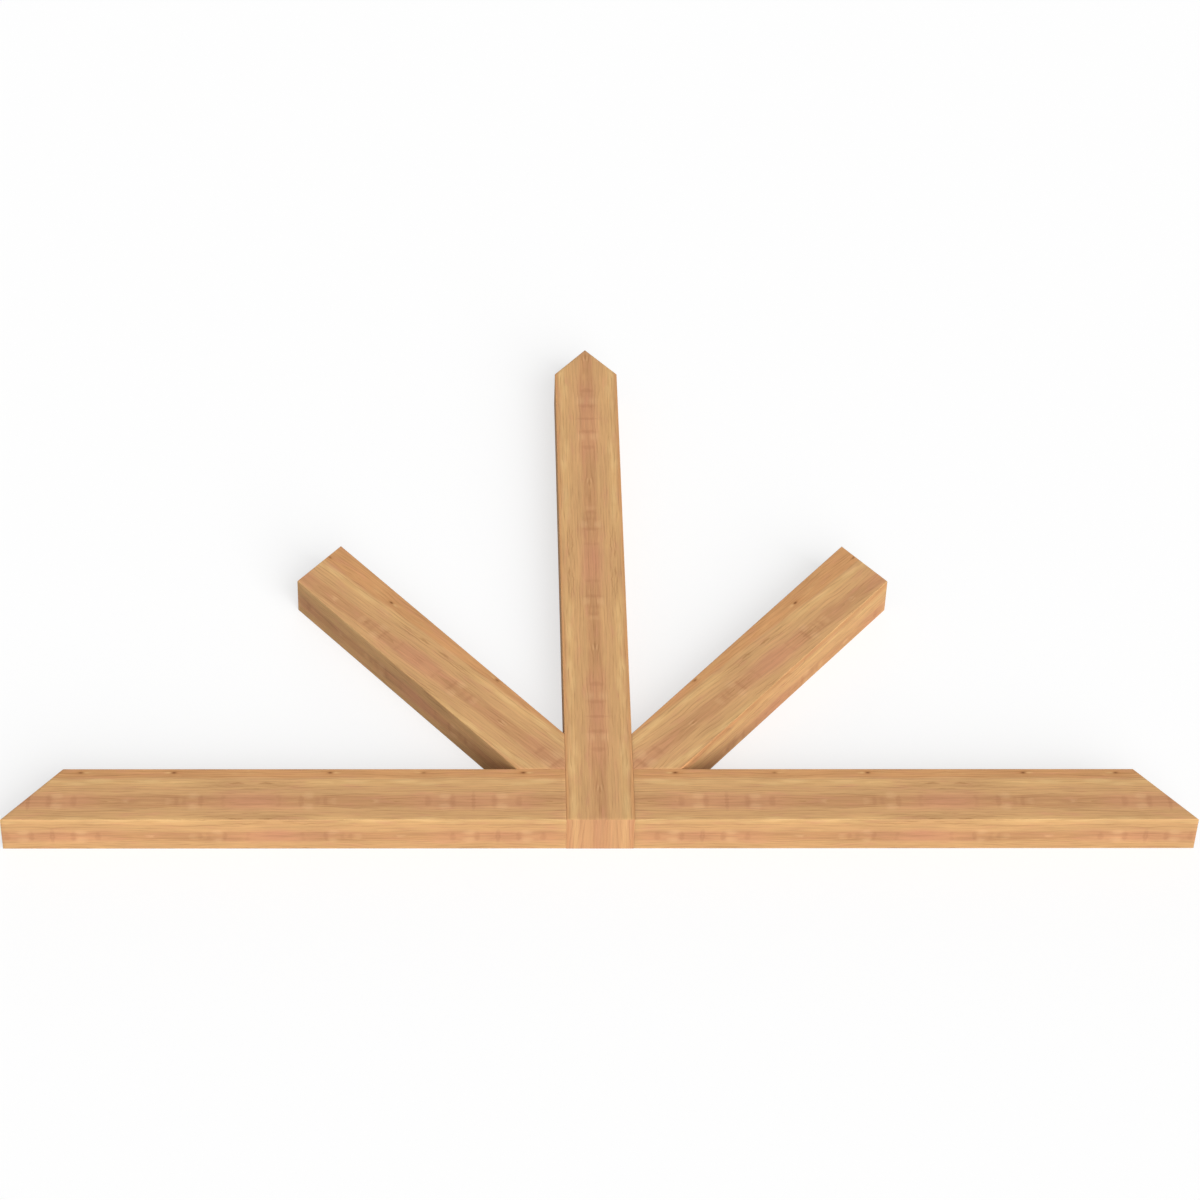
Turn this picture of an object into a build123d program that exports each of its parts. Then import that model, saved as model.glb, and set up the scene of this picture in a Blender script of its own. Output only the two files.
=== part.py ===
from build123d import *
import math
import os

# A timber gable bracket: a king post, a bottom chord in two halves and two braces, all cut from one planed
# softwood stock. It lies on its back. +X runs along the bottom chord, +Y runs up the king post to the ridge,
# and +Z is the front. The origin is on the floor, under the middle of the bracket's outline.

# Driving dimensions, in millimetres.
span = 2438.4  # bottom chord, tip to tip
roof_rise = 355.6  # the roof rises this much
roof_run = 304.8  # over this run, which is a pitch of 14 in 12
timber_face = 139.7  # width of every timber as seen from the front
timber_depth = 88.9  # front to back
arris_radius = 1.6  # eased long edges of the planed stock
saw_allowance = 60.0  # spare length that a trimming cut takes off

# Sizes that follow.
half_span = span / 2
roof_slope = roof_rise / roof_run
height = half_span * roof_slope
bottom = -height / 2
ridge = height / 2
half_face = timber_face / 2
chord_top = bottom + timber_face
roof_angle = math.atan2(roof_rise, roof_run)

# The left brace runs parallel to the right roof slope. It bears on the chord and on the post over equal lengths.
brace_rise = math.sin(roof_angle)
brace_run = math.cos(roof_angle)
brace_seat = timber_face / (brace_rise + brace_run)


def planed_timber(start, along, length):
    """One bar of the stock with eased long edges.

    start is the middle of its first end in plan, and along is its direction."""
    section_plane = Plane(
        origin=(start[0], start[1], timber_depth / 2),
        x_dir=(-along[1], along[0], 0),
        z_dir=(along[0], along[1], 0),
    )
    section = RectangleRounded(timber_face, timber_depth, arris_radius)
    return extrude(section_plane * section, amount=length)


def saw(timber, point, waste_side):
    """Cuts the timber square to its faces through a point in plan, and drops what lies on the waste side."""
    cut = Plane(origin=(point[0], point[1], 0), z_dir=(waste_side[0], waste_side[1], 0))
    return split(timber, bisect_by=cut, keep=Keep.BOTTOM)


def saw_to_left_roof(timber):
    """Cuts the timber along the underside of the left roof slope."""
    return saw(timber, (0, ridge), (-roof_rise, roof_run))


def saw_to_right_roof(timber):
    """Cuts the timber along the underside of the right roof slope."""
    return saw(timber, (0, ridge), (roof_rise, roof_run))


def make_king_post():
    """Square at the bottom, and pointed at the top by the two roof cuts."""
    post = planed_timber((0, bottom), (0, 1), height + saw_allowance)
    return saw_to_right_roof(saw_to_left_roof(post))


def make_left_chord():
    """Square where it butts on the post, and mitred to the roof at its outer end."""
    length = half_span - half_face + saw_allowance
    chord = planed_timber((-half_face, bottom + half_face), (-1, 0), length)
    return saw_to_left_roof(chord)


def make_left_brace():
    """Its heel is cut to the post and to the chord, and its outer end to the roof."""
    heel_centre = (-half_face - brace_seat / 2, chord_top + brace_seat / 2)
    heel_spare = half_face + saw_allowance
    start = (heel_centre[0] + brace_run * heel_spare, heel_centre[1] - brace_rise * heel_spare)
    brace = planed_timber(start, (-brace_run, brace_rise), span)
    brace = saw(brace, (-half_face, chord_top), (1, 0))
    brace = saw(brace, (-half_face, chord_top), (0, -1))
    return saw_to_left_roof(brace)


left_chord = make_left_chord()
left_brace = make_left_brace()
nodes = {
    "king_post": make_king_post(),
    "bottom_chord_left": left_chord,
    "bottom_chord_right": mirror(left_chord, about=Plane.YZ),
    "brace_left": left_brace,
    "brace_right": mirror(left_brace, about=Plane.YZ),
}

os.makedirs("parts", exist_ok=True)
for name, shape in nodes.items():
    export_step(shape, os.path.join("parts", name + ".step"))
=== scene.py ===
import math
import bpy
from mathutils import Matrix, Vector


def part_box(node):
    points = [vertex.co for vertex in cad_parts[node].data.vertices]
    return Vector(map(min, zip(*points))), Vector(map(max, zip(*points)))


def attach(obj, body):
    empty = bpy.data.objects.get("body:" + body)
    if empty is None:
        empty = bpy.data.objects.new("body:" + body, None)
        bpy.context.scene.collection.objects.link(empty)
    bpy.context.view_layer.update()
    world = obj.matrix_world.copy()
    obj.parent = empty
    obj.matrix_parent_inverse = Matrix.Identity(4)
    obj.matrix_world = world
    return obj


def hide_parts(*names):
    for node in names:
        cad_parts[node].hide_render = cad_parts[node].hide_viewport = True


bl_info = {
    "name": "Timber gable bracket",
    "version": (1, 0, 0),
    "blender": (4, 5, 0),
    "location": "3D View > Sidebar > Gable Bracket",
    "description": "Builds the planed cedar timbers of a gable bracket around its packed model",
    "category": "Object",
}

from dataclasses import dataclass, replace

import bpy
import numpy as np
from mathutils import Matrix, Vector

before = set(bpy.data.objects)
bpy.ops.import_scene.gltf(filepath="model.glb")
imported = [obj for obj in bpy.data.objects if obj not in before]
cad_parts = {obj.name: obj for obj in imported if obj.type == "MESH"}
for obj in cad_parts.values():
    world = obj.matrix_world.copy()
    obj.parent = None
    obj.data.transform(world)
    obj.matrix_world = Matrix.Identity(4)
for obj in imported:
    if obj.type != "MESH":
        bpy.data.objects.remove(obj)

MM = 0.001

# The bracket lies on its back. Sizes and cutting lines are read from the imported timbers, in metres.
post_low, post_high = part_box("king_post")
chord_low, chord_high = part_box("bottom_chord_left")
face_width = post_high.x - post_low.x
depth = post_high.z - post_low.z
half_face = face_width / 2
half_depth = depth / 2
bottom = post_low.y
ridge = post_high.y
chord_top = chord_high.y
half_span = -chord_low.x
roof_angle = math.atan2(ridge - bottom, half_span)
roof_rise, roof_run = math.sin(roof_angle), math.cos(roof_angle)
brace_seat = face_width / (roof_rise + roof_run)

# Cutting planes stand square to the floor. Each is a point in plan and the side that the saw's waste is on.
left_roof_cut = ((0.0, ridge), (-roof_rise, roof_run))
right_roof_cut = ((0.0, ridge), (roof_rise, roof_run))
post_foot_cut = ((0.0, bottom), (0.0, -1.0))
post_side_cut = ((-half_face, chord_top), (1.0, 0.0))
chord_top_cut = ((-half_face, chord_top), (0.0, -1.0))


def linear(hex_colour):
    """An sRGB hex colour as linear red, green, blue and an alpha of one."""
    shares = [int(hex_colour[place : place + 2], 16) / 255 for place in (1, 3, 5)]
    return [s / 12.92 if s <= 0.04045 else ((s + 0.055) / 1.055) ** 2.4 for s in shares] + [1.0]


def colour_property(name, description, hex_colour):
    """A colour setting. Its default is given as sRGB hex."""
    return bpy.props.FloatVectorProperty(
        name=name, description=description, default=linear(hex_colour),
        subtype="COLOR", size=4, min=0.0, max=1.0,
    )


def length_property(name, description, millimetres):
    """A length setting. Its default is given in millimetres and kept in metres."""
    return bpy.props.FloatProperty(
        name=name, description=description, default=millimetres * MM, min=0.0, unit="LENGTH", precision=4
    )


def angle_property(name, description, degrees):
    """An angle setting. Its default is given in degrees and kept in radians."""
    return bpy.props.FloatProperty(
        name=name, description=description, default=math.radians(degrees), subtype="ANGLE"
    )


def strength_property(name, description, strength):
    """A lamp's strength, from nothing upwards."""
    return bpy.props.FloatProperty(name=name, description=description, default=strength, min=0.0)


class GableTimberSizes(bpy.types.PropertyGroup):
    """How finely the timbers are made."""

    arris: length_property("Arris", "Radius of the eased long edges of the planed stock", 1.6)
    cut_edge: length_property("Cut edge", "Radius left on an edge where the saw came out", 0.5)
    station: length_property("Station", "Distance between cross sections away from knots", 8.0)
    row: length_property("Row", "Distance between rows of points across a face", 6.0)
    knot_row: length_property("Knot row", "Distance between rows of points at a knot", 0.9)
    knot_reach: length_property("Knot reach", "How far the fine rows run on each side of a knot", 6.0)
    knot_dip: length_property("Knot dip", "How far the planer's knives sank round a knot", 0.35)


class GableWoodLook(bpy.types.PropertyGroup):
    """Colours and grain of the wood."""

    heart: colour_property("Heart", "Brown band along the heart line", "#c29164")
    plain: colour_property("Plain", "Wood beside the heart band", "#cea06e")
    pale: colour_property("Pale", "Yellowish band near the edge of a face", "#d6aa73")
    outer: colour_property("Outer", "Orange wood furthest from the heart line", "#cb9664")
    pink: colour_property("Pink", "Pinkish wood where the figure turns", "#cf8f70")
    light: colour_property("Light", "Light patches beside the heart band", "#ddaf80")
    straw: colour_property("Straw", "Palest patches of the yellowish band", "#e3bd84")
    late_wood: colour_property("Late wood", "Dense late wood of a growth ring", "#94643c")
    bar: colour_property("Bar", "Reddish bars across the heart band", "#a0694a")
    knot: colour_property("Knot", "Middle of a pin knot", "#6b3f20")
    knot_ring: colour_property("Knot ring", "Resinous wood round a pin knot", "#ab6a3a")
    figure_repeat: length_property("Figure repeat", "Length after which the figure turns back", 453.6)
    ring: length_property("Ring", "Distance between strong growth lines", 7.0)
    fibre: length_property("Fibre", "Width of the fine streaks along the grain", 1.6)


class GableStageSettings(bpy.types.PropertyGroup):
    """Floor, light and camera."""

    floor: colour_property("Floor", "Plain pale floor", "#a0a0a0")
    distance: length_property("Camera distance", "From the camera to the point it aims at", 8805.5)
    azimuth: angle_property("Camera azimuth", "Turn of the camera to the right of square on", -1.425)
    elevation: angle_property("Camera elevation", "Height of the camera above the floor", 45.506)
    roll: angle_property("Camera roll", "Turn of the camera about its own line of sight", 1.047)
    lens: bpy.props.FloatProperty(
        name="Lens", description="Focal length in millimetres on a sensor 36 mm wide", default=123.58, min=1.0
    )
    shift: bpy.props.FloatProperty(
        name="Camera shift",
        description="How far the frame lies to the right of the line of sight, as a share of its width",
        default=0.0667,
    )
    key: strength_property("Key", "Strength of the main lamp", 3.5)
    fill: strength_property("Fill", "Strength of the lamp behind", 0.5)
    sky: strength_property("Sky", "Strength of the light from all round", 0.35)


@dataclass
class Grain:
    """How a timber was sawn from its log: along from the timber's start, and across from its middle."""

    turn_along: float  # where the figure turns back on itself
    heart_across: float  # where the heart line passes that place
    slope: float  # turn of the grain against the timber, in radians
    seed: float  # tells one timber's fine grain from another's
    heart_through: float  # where the heart line of the narrow faces lies, forward of the timber's middle
    knots: tuple = ()  # distance from the turn, strength, and the way the knot's tail points

    def to_timber(self, along, across):
        """Turns places in the grain, from the figure's turn and the heart line, into places in the timber."""
        cosine, sine = math.cos(self.slope), math.sin(self.slope)
        return (
            self.turn_along + cosine * along - sine * across,
            self.heart_across + sine * along + cosine * across,
        )

    def from_timber(self, along, across):
        """The reverse of to_timber."""
        cosine, sine = math.cos(self.slope), math.sin(self.slope)
        along, across = along - self.turn_along, across - self.heart_across
        return cosine * along + sine * across, cosine * across - sine * along


# The pin knots of a timber lie on one line, this far across the grain from the heart line.
KNOT_LINE = -78.0 * MM
KNOT_HALF_LENGTH = 4.5 * MM
KNOT_HALF_WIDTH = 2.2 * MM
# The wood that a knot disturbs reaches this far from the knot's middle.
SKIRT_HALF_LENGTH = 3 * KNOT_HALF_LENGTH
SKIRT_HALF_WIDTH = 2.5 * KNOT_HALF_WIDTH
LINES_HELD = 0.75  # how fully a knot holds the growth lines back
KNOT_PROUD = 0.8  # how much of the dip round a knot the hard knot itself stands above
# The pale tail of a knot lies this far ahead of it.
KNOT_TAIL = 12.0 * MM
KNOT_TAIL_HALF_LENGTH = 6.0 * MM
# On the narrow faces the figure lies this much nearer the timber's start than on the wide ones.
NARROW_SHIFT = 50.0 * MM
# The pith of the log lies this far behind the front face, just outside the timber's back.
PITH_DEPTH = 95.0 * MM
# How far from the heart line each band of colour lies on a narrow face, and on a wide one.
NARROW_PLACES = np.array([0.0, 13.0, 20.0, 30.0, 43.0, 50.0, 72.0]) * MM
WIDE_PLACES = np.array([0.0, 16.0, 26.0, 36.0, 46.0, 61.0, 70.0]) * MM

post_grain = Grain(
    turn_along=740.4 * MM, heart_across=0.0, slope=0.0, seed=1.0, heart_through=-5.5 * MM
)
chord_grain = Grain(
    turn_along=half_span - half_face - 507.0 * MM,
    heart_across=18.6 * MM,
    slope=0.0,
    seed=2.0,
    heart_through=-5.5 * MM,
    knots=(
        (351.0 * MM, 0.75, -1), (160.0 * MM, 0.9, 1), (-160.0 * MM, 0.9, -1),
        (-352.0 * MM, 0.5, 1), (-556.0 * MM, 1.0, -1),
    ),
)
left_brace_grain = Grain(
    turn_along=364.0 * MM,
    heart_across=25.1 * MM,
    slope=math.radians(3.9),
    seed=3.0,
    heart_through=-5.5 * MM,
    knots=((351.0 * MM, 0.6, 1), (160.0 * MM, 1.0, -1), (-160.0 * MM, 0.7, 1)),
)
right_brace_grain = replace(left_brace_grain, seed=4.0, heart_through=-27.0 * MM)

ARC_STEPS = 4  # flats in a quarter circle of an eased edge
SUPPORT_ROW = 0.5 * MM  # rows this near an eased edge keep the flat faces flat
KNOT_LENGTH_SHARE = 2.2  # how much further apart the fine rows at a knot lie along the grain than across it
SHARP_ANGLE = math.radians(50)


def cut_place(cut, start, along, across_dir, across):
    """How far along the timber a cutting plane meets it, for each place across.

    It is the distance from the start to the plane, less the slant of the plane times the place across."""
    (point_x, point_y), (side_x, side_y) = cut
    to_plane = (point_x - start[0]) * side_x + (point_y - start[1]) * side_y
    slant = across_dir[0] * side_x + across_dir[1] * side_y
    return (to_plane - across * slant) / (along[0] * side_x + along[1] * side_y)


def spaced_places(first, last, step, fine_at, fine_step, fine_reach, kept=()):
    """Places from first to last, a step apart, finer round each place in fine_at, with the kept ones."""
    every = np.linspace(first, last, max(2, round((last - first) / step) + 1))
    centres = np.array(list(fine_at), float).reshape(-1, 1)
    if centres.size:
        offsets = np.linspace(-fine_reach, fine_reach, 2 * round(fine_reach / fine_step) + 1)
        every = every[(np.abs(every - centres) > fine_reach + fine_step).all(axis=0)]
        every = np.concatenate([every, (centres + offsets).ravel()])
    fixed = np.array([first, last, *kept])
    free = every[(every > first) & (every < last)]
    free = free[(np.abs(free[:, None] - fixed) > fine_step / 2).all(axis=1)]
    every = np.sort(np.concatenate([free, fixed]))
    return every[np.append(True, np.diff(every) > fine_step / 4)]


def section_loop(inset, arris, u_places, w_places):
    """The timber's section as a closed loop of places across (u) and through it (w), from the front on.

    Straight sides hold the given places. A corner is its centre plus the radius times the sine and
    cosine of the angle. The third array says how far each point has turned from a wide face, 0, to a
    narrow one, 1."""
    radius = arris - inset
    corner_u, corner_w = half_face - arris, half_depth - arris
    turn = np.linspace(0, 1, ARC_STEPS + 1)[1:-1]
    rise, reach = radius * np.cos(turn * math.pi / 2), radius * np.sin(turn * math.pi / 2)
    wide, narrow = np.zeros_like(u_places), np.ones_like(w_places)
    front, side = wide + half_depth - inset, narrow * (half_face - inset)
    u = [u_places, corner_u + reach, side, corner_u + rise]
    u += [u_places[::-1], -corner_u - reach, -side, -corner_u - rise]
    w = [front, corner_w + rise, w_places[::-1], -corner_w - reach]
    w += [-front, -corner_w - rise, w_places, corner_w + reach]
    turned = [wide, turn, narrow, 1 - turn] * 2
    return np.concatenate(u), np.concatenate(w), np.concatenate(turned)


def rim_places(u_count, w_count):
    """For each point of a section loop, the nearest point of the grid that fills a cut end."""
    u, w = np.arange(u_count), np.arange(w_count)
    arc = np.zeros(ARC_STEPS - 1, int)
    last_u, last_w = u_count - 1, w_count - 1
    row = [u, arc + last_u, 0 * w + last_u, arc + last_u, u[::-1], arc, 0 * w, arc]
    column = [0 * u + last_w, arc + last_w, w[::-1], arc, 0 * u, arc, w, arc + last_w]
    return np.concatenate(row) * w_count + np.concatenate(column)


def grid_faces(index, closed):
    """Quads between the rows of an index grid. A closed grid's rows join up with their own start."""
    here = index if closed else index[:, :-1]
    beside = np.roll(index, -1, axis=1) if closed else index[:, 1:]
    return np.stack([here[:-1], here[1:], beside[1:], beside[:-1]], axis=-1).reshape(-1, 4)


def grain_marks(grain, local, turned, at_roof):
    """What the wood's finish reads at each point.

    That is its place in the grain, its distance from the heart line, its growth as a distance that the
    rings are counted in, its knots, and its place on a cut end.

    A knot is a bell of the distance from its middle, long along the grain, and a second bell ahead of it
    is its pale tail. Growth lines part round it, because the distance from the heart is held back there
    towards the knot's own.

    On the roof cuts, where at_roof is 1, the rings are arcs round the pith: the place across the grain
    becomes the distance from the pith, and the place through it becomes the way round. The distance from
    the heart line is the one at which the ring meets the front face, or how far short of it it stays."""
    along, across = grain.from_timber(local[:, 0], local[:, 1])
    wide = np.abs(across)
    knot, knot_ring, knot_tail, dip = (np.zeros(len(local)) for _ in range(4))
    on_front = (local[:, 2] > 0) * (1 - turned) * (1 - at_roof)
    for knot_along, strength, tail_way in grain.knots:
        ahead, aside = (along - knot_along) * tail_way, across - KNOT_LINE
        bell = np.exp(-((ahead / KNOT_HALF_LENGTH) ** 2) - (aside / KNOT_HALF_WIDTH) ** 2)
        skirt = np.exp(-((ahead / SKIRT_HALF_LENGTH) ** 2) - (aside / SKIRT_HALF_WIDTH) ** 2)
        tail = np.exp(-(((ahead - KNOT_TAIL) / KNOT_TAIL_HALF_LENGTH) ** 2) - (aside / KNOT_HALF_WIDTH) ** 2)
        wide = wide - (wide - abs(KNOT_LINE)) * LINES_HELD * skirt * strength
        knot = np.maximum(knot, strength * bell * on_front)
        knot_ring = np.maximum(knot_ring, strength * skirt * on_front)
        knot_tail = np.maximum(knot_tail, strength * tail * on_front)
        dip = np.maximum(dip, strength * (skirt - KNOT_PROUD * bell) * on_front)
    narrow = np.interp(np.abs(local[:, 2] - grain.heart_through), NARROW_PLACES, WIDE_PLACES)
    on_face = (1 - turned) * wide + turned * narrow
    face_place = np.stack([along + NARROW_SHIFT * turned, across, local[:, 2]], axis=-1)

    before_pith = local[:, 2] - half_depth + PITH_DEPTH
    from_pith = np.hypot(across, before_pith)
    met_front = np.sqrt(np.maximum(from_pith**2 - PITH_DEPTH**2, 0.0))
    on_cut = np.where(from_pith > PITH_DEPTH, met_front, PITH_DEPTH - from_pith)
    way_round = PITH_DEPTH * np.arctan2(across, before_pith)
    end_place = np.stack([along, from_pith, way_round], axis=-1)
    return {
        "grain": np.where(at_roof[:, None] > 0, end_place, face_place),
        "from_heart": np.where(at_roof > 0, on_cut, on_face),
        "growth": np.where(at_roof > 0, from_pith, on_face),
        "on_end": local * (0.0, 1.0, 1.0),
        "knot": knot,
        "knot_ring": knot_ring,
        "knot_tail": knot_tail,
        "knot_dip": dip,
        "timber": np.full(len(local), grain.seed),
    }


def make_timber(name, cad_node, start, along, start_cuts, end_cuts, grain, seam=(), mirrored=False):
    """A bar of the stock: its section loop carried along its axis, and cut at both ends by planes.

    Every ring keeps the same places across and through the timber. Its place along the timber is a share
    of the way from the first cut to the last, and both are worked out for each place across, so that
    slanted cuts shear the rings. The last rings draw in by the cut edge's radius and meet a grid that
    fills the cut end. seam holds the places across where two cuts meet."""
    sizes = bpy.context.scene.gable_timber
    across_dir = (-along[1], along[0])

    def cut_ends(across):
        first = np.max([cut_place(cut, start, along, across_dir, across) for cut in start_cuts], axis=0)
        last = np.min([cut_place(cut, start, along, across_dir, across) for cut in end_cuts], axis=0)
        return first, last

    soft = sizes.cut_edge
    knot_along, knot_across = grain.to_timber(np.array([knot[0] for knot in grain.knots]), KNOT_LINE)
    first, last = cut_ends(knot_across)
    knot_shares = (knot_along - first - soft) / (last - first - 2 * soft)
    first, last = cut_ends(np.array([0.0]))
    length = float(last[0] - first[0])
    corner_u, corner_w = half_face - sizes.arris, half_depth - sizes.arris
    u_fine = knot_across[np.abs(knot_across) < corner_u]
    u_kept = (*seam, SUPPORT_ROW - corner_u, corner_u - SUPPORT_ROW)
    w_kept = (SUPPORT_ROW - corner_w, corner_w - SUPPORT_ROW)
    u_places = spaced_places(-corner_u, corner_u, sizes.row, u_fine, sizes.knot_row, sizes.knot_reach, u_kept)
    w_places = spaced_places(-corner_w, corner_w, sizes.row, (), sizes.knot_row, 0.0, w_kept)
    knot_station = sizes.knot_row * KNOT_LENGTH_SHARE / length
    knot_span = sizes.knot_reach * KNOT_LENGTH_SHARE / length
    shares = spaced_places(0.0, 1.0, sizes.station / length, knot_shares, knot_station, knot_span)

    # A ring is how far it draws in, how far it keeps from the cuts, and its share of the way between them.
    # One ring lies halfway round the cut edge's quarter circle.
    drawn_in = soft * (1 - math.sqrt(0.5))
    rings = [(soft, 0.0, 0.0), (drawn_in, drawn_in, 0.0)]
    rings += [(0.0, soft, share) for share in shares]
    rings += [(drawn_in, drawn_in, 1.0), (soft, 0.0, 1.0)]
    insets = {ring[0] for ring in rings}
    loops = {inset: section_loop(inset, sizes.arris, u_places, w_places) for inset in insets}
    across, through, turned = (np.stack([loops[ring[0]][part] for ring in rings]) for part in range(3))
    margin, share = (np.array([ring[part] for ring in rings])[:, None] for part in (1, 2))
    first, last = (end.reshape(across.shape) for end in cut_ends(across.ravel()))
    place = first + margin + share * (last - first - 2 * margin)
    cap_u, cap_w = (part.ravel() for part in np.meshgrid(u_places, w_places, indexing="ij"))
    cap_first, cap_last = cut_ends(cap_u)
    local = np.concatenate(
        [
            np.stack([place, across, through], axis=-1).reshape(-1, 3),
            np.stack([cap_first, cap_u, cap_w], axis=-1),
            np.stack([cap_last, cap_u, cap_w], axis=-1),
        ]
    )
    turned = np.concatenate([turned.ravel(), np.zeros(2 * cap_u.size)])

    ring_index = np.arange(across.size).reshape(across.shape)
    start_cap = across.size + np.arange(cap_u.size).reshape(len(u_places), len(w_places))
    end_cap = start_cap + cap_u.size
    rim = rim_places(len(u_places), len(w_places))
    planed = grid_faces(ring_index[2:-2], closed=True)
    sawn = [
        grid_faces(ring_index[:3], closed=True),
        grid_faces(ring_index[-3:], closed=True),
        grid_faces(np.stack([start_cap.ravel()[rim], ring_index[0]]), closed=True),
        grid_faces(np.stack([ring_index[-1], end_cap.ravel()[rim]]), closed=True),
        grid_faces(start_cap, closed=False)[:, ::-1],
        grid_faces(end_cap, closed=False),
    ]
    faces = np.concatenate([planed, *sawn])
    at_roof = np.zeros(len(local))
    at_roof[ring_index[-2:].ravel()] = 1.0
    at_roof[end_cap.ravel()] = 1.0
    marks = grain_marks(grain, local, turned, at_roof)
    local[:, 2] -= sizes.knot_dip * marks.pop("knot_dip")
    points = np.stack(
        [
            start[0] + along[0] * local[:, 0] + across_dir[0] * local[:, 1],
            start[1] + along[1] * local[:, 0] + across_dir[1] * local[:, 1],
            half_depth + local[:, 2],
        ],
        axis=-1,
    )
    if mirrored:
        points[:, 0] *= -1
        faces = faces[:, ::-1]
    dress(name, cad_node, points, faces, len(planed), marks)


def dress(name, cad_node, points, faces, planed_count, marks):
    """Makes the mesh, gives it its marks and finishes, and puts it in its CAD node's place.

    A quad with two points in one place becomes a triangle."""
    mesh = bpy.data.meshes.new(name)
    kept = faces != np.roll(faces, -1, axis=1)
    counts = kept.sum(axis=1)
    mesh.vertices.add(len(points))
    mesh.vertices.foreach_set("co", points.ravel())
    mesh.loops.add(int(counts.sum()))
    mesh.loops.foreach_set("vertex_index", faces[kept])
    mesh.polygons.add(len(faces))
    mesh.polygons.foreach_set("loop_start", np.cumsum(counts) - counts)
    mesh.materials.append(finish("planed western red cedar", planed_cedar))
    mesh.materials.append(finish("crosscut western red cedar", crosscut_cedar))
    mesh.polygons.foreach_set("material_index", (np.arange(len(faces)) >= planed_count).astype(np.int32))
    for mark, values in marks.items():
        kind = "FLOAT_VECTOR" if values.ndim == 2 else "FLOAT"
        field = "vector" if values.ndim == 2 else "value"
        mesh.attributes.new(mark, kind, "POINT").data.foreach_set(field, values.astype(np.float32).ravel())
    mesh.update(calc_edges=True)
    mesh.validate()
    mesh.shade_smooth()
    mesh.set_sharp_from_angle(angle=SHARP_ANGLE)
    piece = bpy.data.objects.new(name, mesh)
    bpy.context.scene.collection.objects.link(piece)
    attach(piece, "root")
    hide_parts(cad_node)


def finish(name, maker):
    """The material of that name, made once."""
    material = bpy.data.materials.get(name)
    if material is None:
        material = bpy.data.materials.new(name)
        material.use_nodes = True
        material.node_tree.nodes.clear()
        maker(material.node_tree, bpy.context.scene.gable_wood)
    return material


def node(tree, kind, inputs=None, **settings):
    """Adds one node. settings are its own, and inputs are values, or sockets to link, by name or place.

    Places 0 to 4 of a Map Range are its value, the range's two ends, and what it gives at each end."""
    made = tree.nodes.new(kind)
    for name, value in settings.items():
        setattr(made, name, value)
    for key, value in (inputs or {}).items():
        if isinstance(value, bpy.types.NodeSocket):
            tree.links.new(value, made.inputs[key])
        else:
            made.inputs[key].default_value = value
    return made.outputs


# All distances in these tables are in millimetres.
# The bands of colour: where each stop lies from the heart line outwards, and its colour's name.
BANDS = ((0, "heart"), (12, "heart"), (19, "plain"), (62, "plain"), (67, "outer"), (100, "outer"))
# How strong the yellowish band is, from the heart line outwards and along the grain from the figure's turn.
PALE_ACROSS = ((0, 0.0), (38, 0.0), (50, 1.0), (57, 1.0), (63, 0.0), (100, 0.0))
PALE_ALONG = ((0, 0.0), (60, 0.1), (120, 0.9), (320, 0.9), (380, 0.55), (453, 0.5))
# How strong the pinkish wood is beside the heart line, along the grain from the figure's turn.
PINK_ALONG = ((0, 0.6), (40, 0.5), (70, 0.25), (120, 0.05), (300, 0.0), (345, 0.3), (453, 0.4))
# Oval marks in the figure: distance from the turn, distance from the heart line, half length along the
# grain, half width across it, and strength.
REDDISH_BARS = (
    (56, 9, 5, 8, 0.15), (102, 3, 5, 14, 0.25), (136, 3, 5, 11, 0.15), (153, 2, 5, 11, 0.22),
    (361, 3, 7, 13, 0.24), (411, 4, 6, 14, 0.26), (453, 4, 3, 22, 0.25),
)
LIGHT_PATCHES = ((117, 16, 11, 10, 0.4), (168, 4, 7, 8, 0.2), (254, 4, 9, 2, 0.4), (395, 15, 13, 11, 0.4))
STRAW_PATCHES = (
    (150, 50, 26, 6, 0.25), (211, 53, 32, 7, 0.4), (312, 55, 30, 7, 0.4), (361, 48, 28, 6, 0.35),
    (410, 55, 26, 6, 0.2),
)
DARK_LENSES = (
    (30, 49, 16, 2.5, 0.45), (65, 42, 50, 1.5, 0.35), (80, 51, 35, 1.5, 0.25), (250, 0, 11, 1.8, 0.4),
)
# An oval mark is full inside the first share of its size, and gone past the second.
MARK_FULL, MARK_GONE = 0.3, 1.4
# How widely the bands wander, and how ragged the oval marks are along the grain and across it.
WANDER = 14
RAGGED_ALONG, RAGGED_ACROSS = 16, 8

SWIRL = 6.0  # how many growth lines a swirl may bend them by
LATE_POWER = 4.0  # the share of a ring that is past, to this power, is how dark its wood is
KNOT_RING_STRENGTH = 0.35
KNOT_TAIL_STRENGTH = 0.6
# How much each kind of unevenness lightens and darkens the wood.
SHADES = (("tone", 0.3), ("broad", 0.35), ("fine", 0.35), ("thread", 0.25))
STREAK_HEIGHT = 0.6  # how high the fine streaks stand, where late wood stands 1 high

# Of a cut end: how far its streaks run from front to back in millimetres, how much pinker the fresh cut
# is, the size of its rough spots, the circular saw's radius, how far apart its marks lie, and how high
# they stand where the spots stand 1 high. The spots are cut fibres, which are finer than 0.1 mm in the
# wood, and are drawn this coarse so that they show.
CUT_STREAK = 180
CUT_PINK = 0.25
CUT_SPOT = 1.1 * MM
SAW_RADIUS = 180.0 * MM
SAW_MARK = 3.2 * MM
SAW_HEIGHT = 0.15


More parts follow.
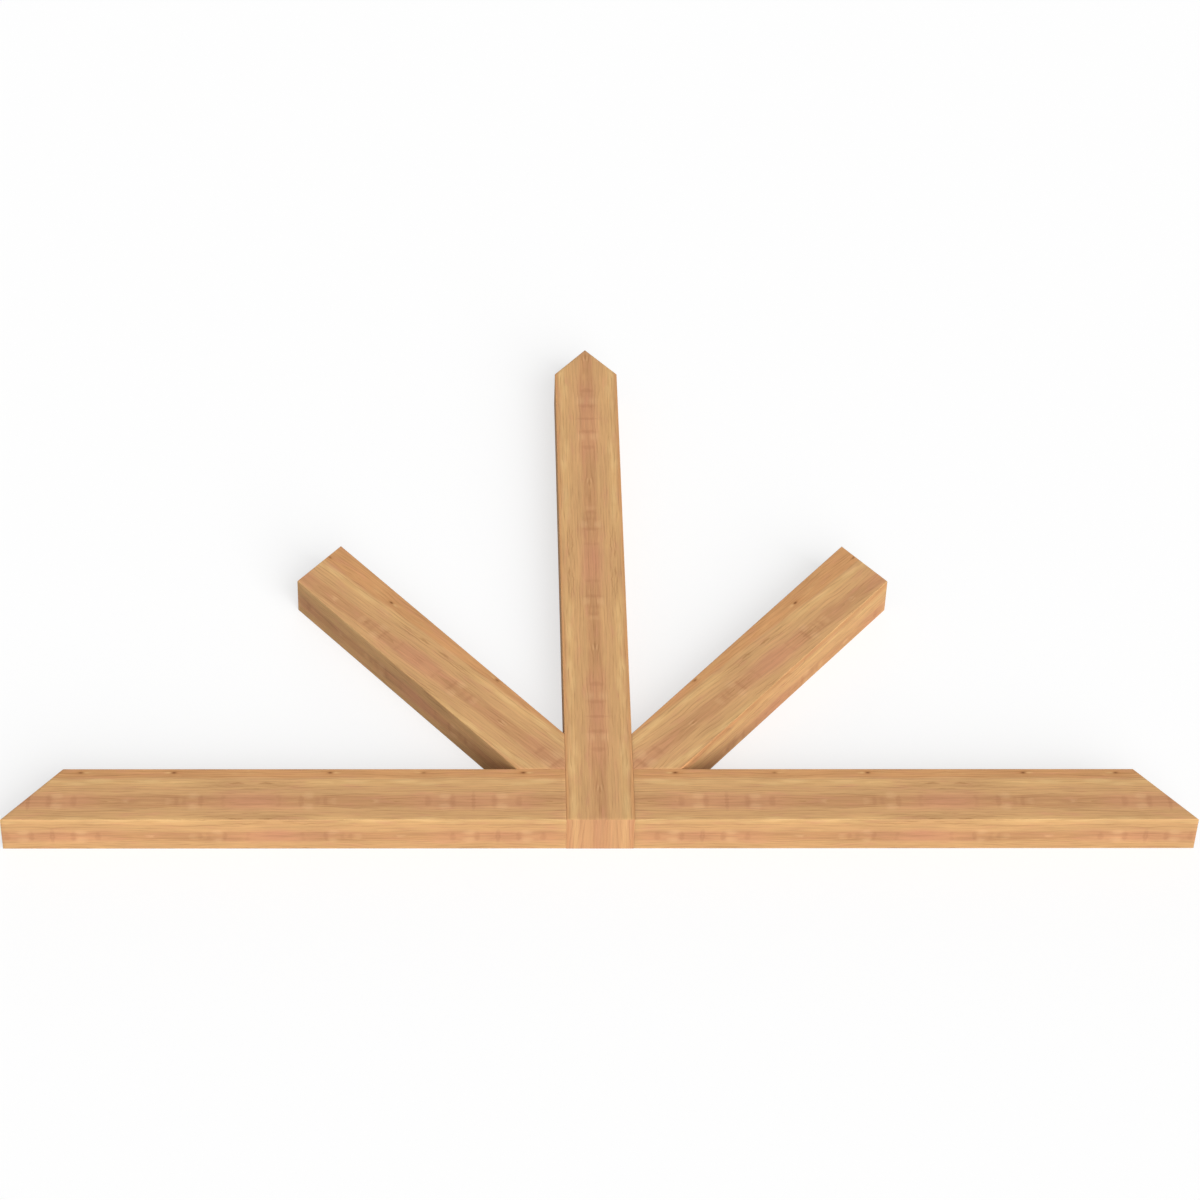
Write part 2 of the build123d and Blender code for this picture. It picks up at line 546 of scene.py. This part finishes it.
def oval_marks(tree, place, marks):
    """How strongly some oval marks show: each fades from full near its middle to nothing past its edge."""
    shown = 0.0
    for along, aside, half_length, half_width, strength in marks:
        scale = (1 / (half_length * MM), 1 / (half_width * MM), 0.0)
        middle = (-along / half_length, -aside / half_width, 0.0)
        from_middle = {0: place, 1: scale, 2: middle}
        away = node(tree, "ShaderNodeVectorMath", from_middle, operation="MULTIPLY_ADD")[0]
        distance = node(tree, "ShaderNodeVectorMath", {0: away}, operation="LENGTH")["Value"]
        fade = {0: distance, 1: MARK_FULL, 2: MARK_GONE, 3: strength, 4: 0.0}
        fading = node(tree, "ShaderNodeMapRange", fade, interpolation_type="SMOOTHSTEP")[0]
        shown = node(tree, "ShaderNodeMath", {0: shown, 1: fading}, operation="MAXIMUM")[0]
    return shown


def banded(tree, distance, stops):
    """Bands over a distance in metres: each stop has its place in millimetres, and a colour or a strength."""
    reach = stops[-1][0]
    share = node(tree, "ShaderNodeMath", {0: distance, 1: reach * MM}, operation="DIVIDE")[0]
    bands = node(tree, "ShaderNodeValToRGB", {0: share})[0]
    elements = bands.node.color_ramp.elements
    for _ in stops[2:]:
        elements.new(1.0)
    for element, (place, shown) in zip(elements, stops):
        element.position = place / reach
        element.color = (shown, shown, shown, 1.0) if isinstance(shown, float) else shown
    return bands


def cedar_figure(tree, look, least_through):
    """The pattern of the wood: its colour, its height and its fine streaks.

    The figure turns back on itself along the timber and at the heart line, as boards opened like a book
    show it, while the fine streaks run on. Growth lines lie at whole numbers of the ring distance from
    the heart, bent by a swirl: each darkens slowly and ends at once, like the late wood of a year. No
    streak is less deep through the timber than least_through, in millimetres."""
    grain = node(tree, "ShaderNodeAttribute", attribute_name="grain")["Vector"]
    from_heart, growth, timber, knot, knot_ring, knot_tail = (
        node(tree, "ShaderNodeAttribute", attribute_name=mark)["Fac"]
        for mark in ("from_heart", "growth", "timber", "knot", "knot_ring", "knot_tail")
    )
    along, across, depth_place = node(tree, "ShaderNodeSeparateXYZ", {0: grain})
    folded = node(tree, "ShaderNodeMath", {0: along, 1: look.figure_repeat}, operation="PINGPONG")[0]
    aside = node(tree, "ShaderNodeMath", {0: across}, operation="ABSOLUTE")[0]
    figure = node(tree, "ShaderNodeCombineXYZ", {0: folded, 1: aside, 2: depth_place})[0]

    # Soft noise for each kind of unevenness: what it follows, and its size along, across and through, in
    # millimetres. The threads stand for fibres, which are finer than 0.1 mm in the wood, and are drawn
    # this coarse so that they show.
    fibre = look.fibre / MM
    unevenness = {
        "wander": (figure, (110, 36, 36)),
        "swirl": (figure, (230, 60, 60)),
        "ragged": (figure, (16, 14, 14)),
        "strength": (figure, (70, 11, 11)),
        "tone": (grain, (150, 45, 45)),
        "hue": (grain, (60, 14, 14)),
        "broad": (grain, (120, 5, 8)),
        "fine": (grain, (60, fibre, fibre)),
        "thread": (grain, (22, fibre / 3, fibre / 3)),
    }
    noise, noise_colour = {}, {}
    for name, (follows, (length, width, through)) in unevenness.items():
        scale = [1 / (size * MM) for size in (length, width, max(through, least_through))]
        place = node(tree, "ShaderNodeVectorMath", {0: follows, 1: scale}, operation="MULTIPLY")[0]
        noise[name], noise_colour[name] = node(
            tree, "ShaderNodeTexNoise", {"Vector": place, "W": timber, "Scale": 1.0, "Detail": 3.0},
            noise_dimensions="4D",
        )

    # The bands wander a few millimetres off their line, and the oval marks have ragged ends.
    wandering = {0: noise["wander"], 1: WANDER * MM, 2: -WANDER / 2 * MM}
    wander = node(tree, "ShaderNodeMath", wandering, operation="MULTIPLY_ADD")[0]
    band = node(tree, "ShaderNodeMath", {0: from_heart, 1: wander}, operation="ADD")[0]
    place = node(tree, "ShaderNodeCombineXYZ", {0: folded, 1: from_heart})[0]
    widest = (RAGGED_ALONG * MM, RAGGED_ACROSS * MM, 0.0)
    half_back = (-RAGGED_ALONG / 2 * MM, -RAGGED_ACROSS / 2 * MM, 0.0)
    raggedness = {0: noise_colour["ragged"], 1: widest, 2: half_back}
    ragged = node(tree, "ShaderNodeVectorMath", raggedness, operation="MULTIPLY_ADD")[0]
    place = node(tree, "ShaderNodeVectorMath", {0: place, 1: ragged}, operation="ADD")[0]

    swirl = node(tree, "ShaderNodeMath", {0: noise["swirl"], 1: SWIRL}, operation="MULTIPLY")[0]
    rings = {0: growth, 1: 1 / look.ring, 2: swirl}
    rings_out = node(tree, "ShaderNodeMath", rings, operation="MULTIPLY_ADD")[0]
    ring_share = node(tree, "ShaderNodeMath", {0: rings_out}, operation="FRACT")[0]
    late_wood = node(tree, "ShaderNodeMath", {0: ring_share, 1: LATE_POWER}, operation="POWER")[0]

    # Soft steps: what each follows, where it starts and ends, and how strong it is there.
    steps = {
        "near_heart": (band, 14 * MM, 34 * MM, 0.75, 0.0),
        "pinker": (noise["hue"], 0.5, 0.75, 0.0, 0.35),
        "yellower": (noise["hue"], 0.5, 0.25, 0.0, 0.35),
        "lines": (noise["strength"], 0.38, 0.68, 0.05, 0.6),
    }
    step = {}
    for name, values in steps.items():
        inputs = dict(enumerate(values))
        step[name] = node(tree, "ShaderNodeMapRange", inputs, interpolation_type="SMOOTHSTEP")[0]

    # What shows by the product of two strengths.
    products = {
        "pale": (banded(tree, band, PALE_ACROSS), banded(tree, folded, PALE_ALONG)),
        "pink": (banded(tree, folded, PINK_ALONG), step["near_heart"]),
        "lines": (late_wood, step["lines"]),
        "knot_ring": (knot_ring, KNOT_RING_STRENGTH),
        "knot_tail": (knot_tail, KNOT_TAIL_STRENGTH),
    }
    product = {}
    for name, (first, second) in products.items():
        product[name] = node(tree, "ShaderNodeMath", {0: first, 1: second}, operation="MULTIPLY")[0]

    colour = banded(tree, band, [(stop, getattr(look, name)) for stop, name in BANDS])
    layers = (
        (product["pale"], look.pale),
        (step["pinker"], look.pink),
        (step["yellower"], look.pale),
        (product["pink"], look.pink),
        (oval_marks(tree, place, STRAW_PATCHES), look.straw),
        (oval_marks(tree, place, LIGHT_PATCHES), look.light),
        (product["lines"], look.late_wood),
        (oval_marks(tree, place, REDDISH_BARS), look.bar),
        (oval_marks(tree, place, DARK_LENSES), look.late_wood),
        (product["knot_ring"], look.knot_ring),
        (product["knot_tail"], look.straw),
        (knot, look.knot),
    )
    for share, layer in layers:
        colour = node(tree, "ShaderNodeMix", {"Factor": share, 6: colour, 7: layer}, data_type="RGBA")[2]

    # Noise lies round a half, so starting this far below one leaves the wood's level round one.
    level = 1 - sum(weight for _, weight in SHADES) / 2
    for name, weight in SHADES:
        shade = {0: noise[name], 1: weight, 2: level}
        level = node(tree, "ShaderNodeMath", shade, operation="MULTIPLY_ADD")[0]
    colour = node(tree, "ShaderNodeVectorMath", {0: colour, "Scale": level}, operation="SCALE")[0]
    relief = {0: noise["fine"], 1: STREAK_HEIGHT, 2: late_wood}
    height = node(tree, "ShaderNodeMath", relief, operation="MULTIPLY_ADD")[0]
    return colour, height, noise["fine"]


def planed_cedar(tree, look):
    """Western red cedar, planed and left bare: a soft dry sheen, and late wood that stands a hair proud."""
    colour, height, fine = cedar_figure(tree, look, 0)
    rough = node(tree, "ShaderNodeMapRange", {0: fine, 1: 0.3, 2: 0.7, 3: 0.6, 4: 0.74})[0]
    bump = node(tree, "ShaderNodeBump", {"Height": height, "Distance": 0.08 * MM, "Strength": 0.6})[0]
    surface = {
        "Base Color": colour, "Roughness": rough, "Normal": bump, "IOR": 1.5, "Specular IOR Level": 0.15,
    }
    shader = node(tree, "ShaderNodeBsdfPrincipled", surface)[0]
    node(tree, "ShaderNodeOutputMaterial", {"Surface": shader})


def crosscut_cedar(tree, look):
    """The same cedar sawn across: the rings end on it, cut fibres dull it, and the saw left shallow arcs.

    An arc's height is the sine of the distance from the saw's middle, which lies far behind the timber."""
    colour = cedar_figure(tree, look, CUT_STREAK)[0]
    colour = node(tree, "ShaderNodeMix", {"Factor": CUT_PINK, 6: colour, 7: look.pink}, data_type="RGBA")[2]
    on_end = node(tree, "ShaderNodeAttribute", attribute_name="on_end")["Vector"]
    spots = node(tree, "ShaderNodeTexNoise", {"Vector": on_end, "Scale": 1 / CUT_SPOT, "Detail": 2.0})[0]
    dull = node(tree, "ShaderNodeMapRange", {0: spots, 1: 0.3, 2: 0.7, 3: 0.95, 4: 1.04})[0]
    colour = node(tree, "ShaderNodeVectorMath", {0: colour, "Scale": dull}, operation="SCALE")[0]
    to_saw = node(tree, "ShaderNodeVectorMath", {0: on_end, 1: (0.0, 0.0, SAW_RADIUS)}, operation="ADD")[0]
    from_saw = node(tree, "ShaderNodeVectorMath", {0: to_saw}, operation="LENGTH")["Value"]
    turns = node(tree, "ShaderNodeMath", {0: from_saw, 1: math.tau / SAW_MARK}, operation="MULTIPLY")[0]
    arcs = node(tree, "ShaderNodeMath", {0: turns}, operation="SINE")[0]
    height = node(tree, "ShaderNodeMath", {0: arcs, 1: SAW_HEIGHT, 2: spots}, operation="MULTIPLY_ADD")[0]
    bump = node(tree, "ShaderNodeBump", {"Height": height, "Distance": 0.2 * MM, "Strength": 0.5})[0]
    surface = {"Base Color": colour, "Roughness": 0.8, "Normal": bump, "IOR": 1.5, "Specular IOR Level": 0.1}
    shader = node(tree, "ShaderNodeBsdfPrincipled", surface)[0]
    node(tree, "ShaderNodeOutputMaterial", {"Surface": shader})


class GABLE_OT_king_post(bpy.types.Operator):
    """Make the upright timber, pointed at the top by both roof cuts"""

    bl_idname = "gable.king_post"
    bl_label = "King Post"

    def execute(self, context):
        make_timber(
            "cedar_king_post", "king_post", start=(0.0, bottom), along=(0.0, 1.0),
            start_cuts=[post_foot_cut], end_cuts=[left_roof_cut, right_roof_cut],
            grain=post_grain, seam=(0.0,),
        )
        return {"FINISHED"}


class GABLE_OT_bottom_chord(bpy.types.Operator):
    """Make the two halves of the horizontal timber, from the post out to the roof"""

    bl_idname = "gable.bottom_chord"
    bl_label = "Bottom Chord"

    def execute(self, context):
        butt_cut = ((-half_face, bottom), (1.0, 0.0))
        for side in ("left", "right"):
            make_timber(
                f"cedar_bottom_chord_{side}", f"bottom_chord_{side}",
                start=(-half_face, bottom + half_face), along=(-1.0, 0.0),
                start_cuts=[butt_cut], end_cuts=[left_roof_cut],
                grain=chord_grain, mirrored=side == "right",
            )
        return {"FINISHED"}


class GABLE_OT_braces(bpy.types.Operator):
    """Make the two slanting timbers, from the corner of post and chord out to the roof"""

    bl_idname = "gable.braces"
    bl_label = "Braces"

    def execute(self, context):
        heel = (-half_face - brace_seat / 2, chord_top + brace_seat / 2)
        corner_across = (roof_run - roof_rise) * brace_seat / 2
        for side, grain in (("left", left_brace_grain), ("right", right_brace_grain)):
            make_timber(
                f"cedar_brace_{side}", f"brace_{side}",
                start=heel, along=(-roof_run, roof_rise),
                start_cuts=[post_side_cut, chord_top_cut], end_cuts=[left_roof_cut],
                grain=grain, seam=(corner_across,), mirrored=side == "right",
            )
        return {"FINISHED"}


class GABLE_OT_stage(bpy.types.Operator):
    """Set out the floor, the lamps and the camera"""

    bl_idname = "gable.stage"
    bl_label = "Floor, Lamps and Camera"

    def execute(self, context):
        settings = context.scene.gable_stage
        make_floor(settings)
        make_lamp("key", KEY_DIRECTION, settings.key, KEY_SPREAD)
        make_lamp("fill", FILL_DIRECTION, settings.fill, FILL_SPREAD)
        make_sky(settings)
        make_camera(settings)
        context.scene.view_settings.view_transform = "Standard"
        return {"FINISHED"}


FLOOR_REACH = 30.0  # metres from the middle to an edge of the floor
FLOOR_GAP = 0.2 * MM  # keeps the floor and the timbers' backs from lying in one plane
AIM = (-157.1 * MM, -85.2 * MM, 88.9 * MM)  # the point that the camera looks at
KEY_DIRECTION = (0.3498, -0.7633, 0.5433)  # towards the main lamp
KEY_SPREAD = math.radians(50)  # how wide the lamp looks from the bracket
FILL_DIRECTION = (0.0, 0.99, 0.14)  # towards the lamp behind
FILL_SPREAD = math.radians(30)
SENSOR_WIDTH = 36.0  # millimetres


def seen_directly(tree):
    """1 for what the camera sees, also in a reflection or through glass, and 0 for any other light."""
    path = node(tree, "ShaderNodeLightPath")
    either = {0: path["Is Camera Ray"], 1: path["Is Glossy Ray"]}
    seen = node(tree, "ShaderNodeMath", either, operation="MAXIMUM")[0]
    return node(tree, "ShaderNodeMath", {0: seen, 1: path["Is Transmission Ray"]}, operation="MAXIMUM")[0]


def make_floor(settings):
    """A flat square of floor, as a grid of its two directions.

    It glows by what its matt colour lacks of full white, and throws none of that glow on the timbers."""
    reach = np.array([-FLOOR_REACH, FLOOR_REACH])
    x, y = np.meshgrid(reach, reach, indexing="xy")
    points = np.stack([x.ravel(), y.ravel(), np.full(x.size, -FLOOR_GAP)], axis=-1)
    mesh = bpy.data.meshes.new("floor")
    mesh.from_pydata(points.tolist(), [], [(0, 1, 3, 2)])
    material = bpy.data.materials.new("matt white studio floor")
    material.use_nodes = True
    tree = material.node_tree
    tree.nodes.clear()
    matt = node(tree, "ShaderNodeBsdfDiffuse", {"Color": settings.floor})[0]
    missing = {0: seen_directly(tree), 1: 1.0 - settings.floor[0]}
    glow = node(tree, "ShaderNodeMath", missing, operation="MULTIPLY")[0]
    glow = node(tree, "ShaderNodeEmission", {"Strength": glow})[0]
    both = node(tree, "ShaderNodeAddShader", {0: matt, 1: glow})[0]
    node(tree, "ShaderNodeOutputMaterial", {"Surface": both})
    mesh.materials.append(material)
    floor = bpy.data.objects.new("floor", mesh)
    bpy.context.scene.collection.objects.link(floor)


def make_lamp(name, direction, strength, spread):
    """A distant lamp in a direction from the bracket."""
    light = bpy.data.lights.new(name, "SUN")
    light.energy = strength
    light.angle = spread
    lamp = bpy.data.objects.new(name, light)
    lamp.rotation_mode = "QUATERNION"
    lamp.rotation_quaternion = (-Vector(direction)).to_track_quat("-Z", "Y")
    bpy.context.scene.collection.objects.link(lamp)


def make_sky(settings):
    """Even light from all round, which the camera sees as white."""
    world = bpy.data.worlds.new("white studio")
    world.use_nodes = True
    tree = world.node_tree
    tree.nodes.clear()
    seen = {0: seen_directly(tree), 1: 0.0, 2: 1.0, 3: settings.sky, 4: 1.0}
    strength = node(tree, "ShaderNodeMapRange", seen)[0]
    background = node(tree, "ShaderNodeBackground", {"Color": (1.0, 1.0, 1.0, 1.0), "Strength": strength})[0]
    node(tree, "ShaderNodeOutputWorld", {"Surface": background})
    bpy.context.scene.world = world


def make_camera(settings):
    """The camera stands back from its aim by its distance, at its azimuth and elevation, and is rolled.

    The photograph's frame lies to the right of its line of sight. The shift allows for as much of that
    as still leaves the whole bracket inside views from other sides."""
    azimuth, elevation = settings.azimuth, settings.elevation
    reach = math.cos(elevation)
    back = Vector((math.sin(azimuth) * reach, -math.cos(azimuth) * reach, math.sin(elevation)))
    data = bpy.data.cameras.new("camera")
    data.sensor_width = SENSOR_WIDTH
    data.lens = settings.lens
    data.shift_x = settings.shift
    data.clip_end = 4 * FLOOR_REACH
    camera = bpy.data.objects.new("camera", data)
    level = (-back).to_track_quat("-Z", "Y").to_matrix()
    turned = level @ Matrix.Rotation(settings.roll, 3, "Z")
    camera.matrix_world = Matrix.Translation(Vector(AIM) + back * settings.distance) @ turned.to_4x4()
    bpy.context.scene.collection.objects.link(camera)
    bpy.context.scene.camera = camera


OPERATORS = (GABLE_OT_king_post, GABLE_OT_bottom_chord, GABLE_OT_braces, GABLE_OT_stage)
SETTINGS = {"gable_timber": GableTimberSizes, "gable_wood": GableWoodLook, "gable_stage": GableStageSettings}


class GABLE_PT_bracket(bpy.types.Panel):
    """Lists the bracket's timbers and the stage, with their settings"""

    bl_label = "Gable Bracket"
    bl_idname = "GABLE_PT_bracket"
    bl_space_type = "VIEW_3D"
    bl_region_type = "UI"
    bl_category = "Gable Bracket"

    def draw(self, context):
        for operator in OPERATORS:
            self.layout.operator(operator.bl_idname)
        for name, group in SETTINGS.items():
            box = self.layout.box()
            for field in group.__annotations__:
                box.prop(getattr(context.scene, name), field)


def register():
    for name, group in SETTINGS.items():
        bpy.utils.register_class(group)
        setattr(bpy.types.Scene, name, bpy.props.PointerProperty(type=group))
    for kind in (*OPERATORS, GABLE_PT_bracket):
        bpy.utils.register_class(kind)


def unregister():
    for kind in (GABLE_PT_bracket, *reversed(OPERATORS)):
        bpy.utils.unregister_class(kind)
    for name, group in SETTINGS.items():
        delattr(bpy.types.Scene, name)
        bpy.utils.unregister_class(group)


def main():
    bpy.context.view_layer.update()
    register()
    for operator in OPERATORS:
        group, name = operator.bl_idname.split(".")
        getattr(getattr(bpy.ops, group), name)()


if __name__ == "__main__":
    main()
